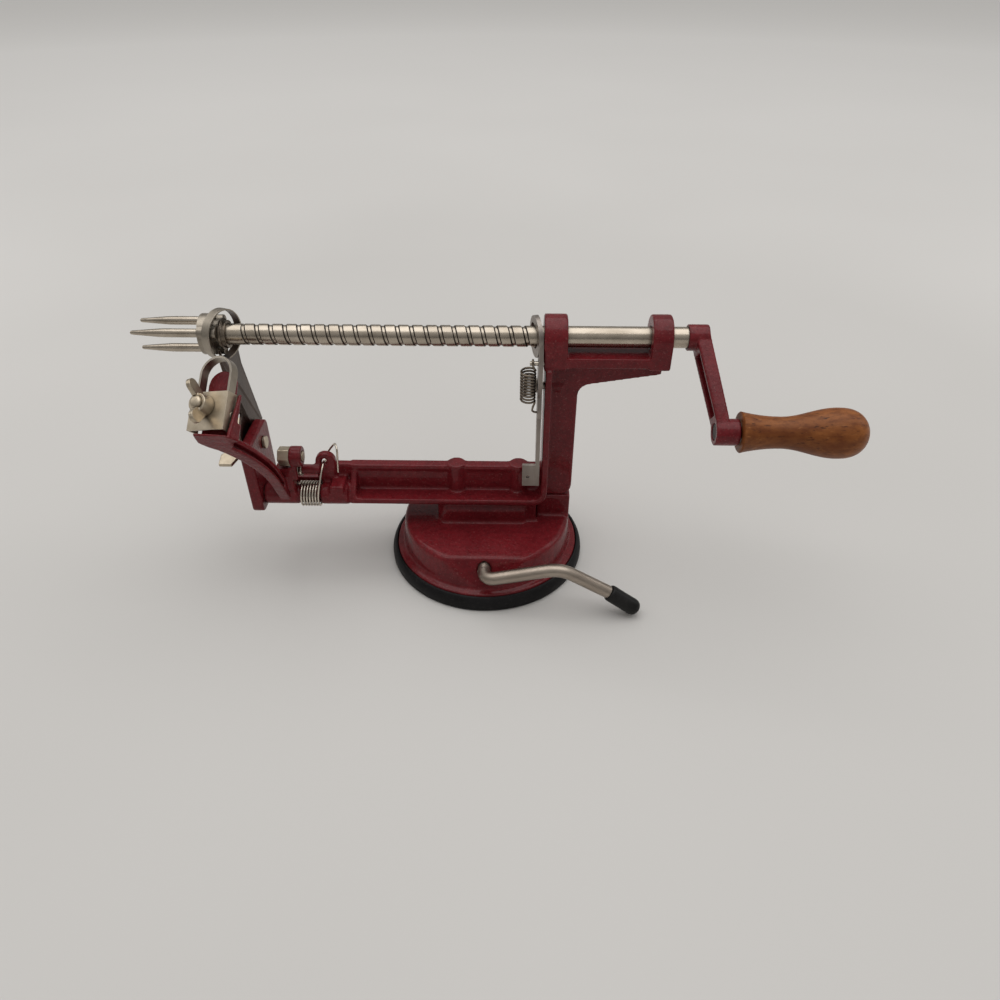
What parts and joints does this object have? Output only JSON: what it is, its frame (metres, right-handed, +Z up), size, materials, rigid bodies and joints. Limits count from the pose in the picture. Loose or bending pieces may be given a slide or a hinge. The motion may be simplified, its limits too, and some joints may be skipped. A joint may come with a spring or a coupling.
{
  "type": "apple peeler",
  "caption": "Hand cranked apple peeler: cast frame on a suction foot, grooved shaft with a fork, sprung peeling arm, corer ring with slicing blade and a wooden crank handle.",
  "frame": {"origin": "centre of the suction foot's rim, on the table", "axes": "+X along the drive shaft towards the crank, -Y towards the user, +Z up"},
  "size_m": [0.3282, 0.1063, 0.1365],
  "materials": {
    "red_enamel": "glossy stove enamel on a casting",
    "bright_steel": "nickel plated and polished",
    "zinc_steel": "dull zinc plate",
    "blade_steel": "gray stamped steel",
    "black_rubber": "matt",
    "black_grip": "satin vinyl",
    "turned_wood": "stained and varnished"
  },
  "bodies": {
    "frame": {"frame": "red_enamel", "base_cover": "red_enamel", "suction_cup": "black_rubber", "frame_screws": "bright_steel", "release_screw": "bright_steel", "spring_pin": "bright_steel", "arm_pivot": "bright_steel", "stop_rings": "bright_steel", "corer_slicer": "blade_steel", "slicer_bolt": "zinc_steel", "release_spring": "bright_steel", "torsion_spring": "bright_steel"},
    "carriage": {"stop_washer": "bright_steel"},
    "shaft": {"drive_shaft": "bright_steel", "fork_hub": "bright_steel", "fork_prongs": "bright_steel", "crank_arm": "red_enamel", "handle_pin": "bright_steel"},
    "handle": {"handle": "turned_wood"},
    "release": {"release_lever": "bright_steel"},
    "arm": {"peel_arm": "red_enamel", "blade_holder": "zinc_steel", "peel_blade": "blade_steel", "holder_rivets": "zinc_steel", "holder_stud": "zinc_steel", "stop_screw": "zinc_steel"},
    "blade_nut": {"blade_wing_nut": "zinc_steel"},
    "slicer_nut": {"slicer_wing_nut": "zinc_steel"},
    "lever": {"vacuum_lever": "bright_steel", "lever_grip": "black_grip"},
    "stud": {"suction_stud": "bright_steel"}
  },
  "joints": [
    {"name": "shaft_feed", "type": "slide", "parent": "frame", "child": "carriage", "axis": [1, 0, 0], "range_m": [0, 0.127]},
    {"name": "crank_turn", "type": "hinge", "parent": "carriage", "child": "shaft", "pos_m": [0, 0, 0.125], "axis": [1, 0, 0], "range_deg": [0, 7200]},
    {"name": "handle_spin", "type": "hinge", "parent": "shaft", "child": "handle", "pos_m": [0.112, -0.03108, 0.09456], "axis": [1, 0, 0], "continuous": true},
    {"name": "release_press", "type": "hinge", "parent": "frame", "child": "release", "pos_m": [0.025, 0, 0.1], "axis": [1, 0, 0], "range_deg": [0, 4.5], "stiffness_Nm_per_rad": 1, "springref_deg": -5.73, "deforming": ["release_spring"]},
    {"name": "arm_swing", "type": "hinge", "parent": "frame", "child": "arm", "pos_m": [-0.1, -0.008, 0.0406], "axis": [1, 0, 0], "range_deg": [0, 40], "stiffness_Nm_per_rad": 0.08, "springref_deg": -45.84, "deforming": ["torsion_spring"]},
    {"name": "blade_nut_turn", "type": "hinge", "parent": "arm", "child": "blade_nut", "pos_m": [-0.12031, -0.03412, 0.10719], "axis": [-0.3082, -0.6026, 0.7362], "range_deg": [0, 180]},
    {"name": "slicer_nut_turn", "type": "hinge", "parent": "frame", "child": "slicer_nut", "pos_m": [-0.1197, 0.003, 0.0644], "axis": [-1, 0, 0], "range_deg": [0, 180]},
    {"name": "lever_turn", "type": "hinge", "parent": "frame", "child": "lever", "pos_m": [0, 0, 0.0186], "axis": [0, -1, 0], "range_deg": [0, 150]},
    {"name": "stud_lift", "type": "slide", "parent": "frame", "child": "stud", "axis": [0, 0, 1], "range_m": [0, 0.00233]}
  ],
  "couplings": [
    {"joint": "shaft_feed", "follows": "crank_turn", "m_per_rad": 0.0010106},
    {"joint": "stud_lift", "follows": "lever_turn", "m_per_rad": 0.00088}
  ]
}
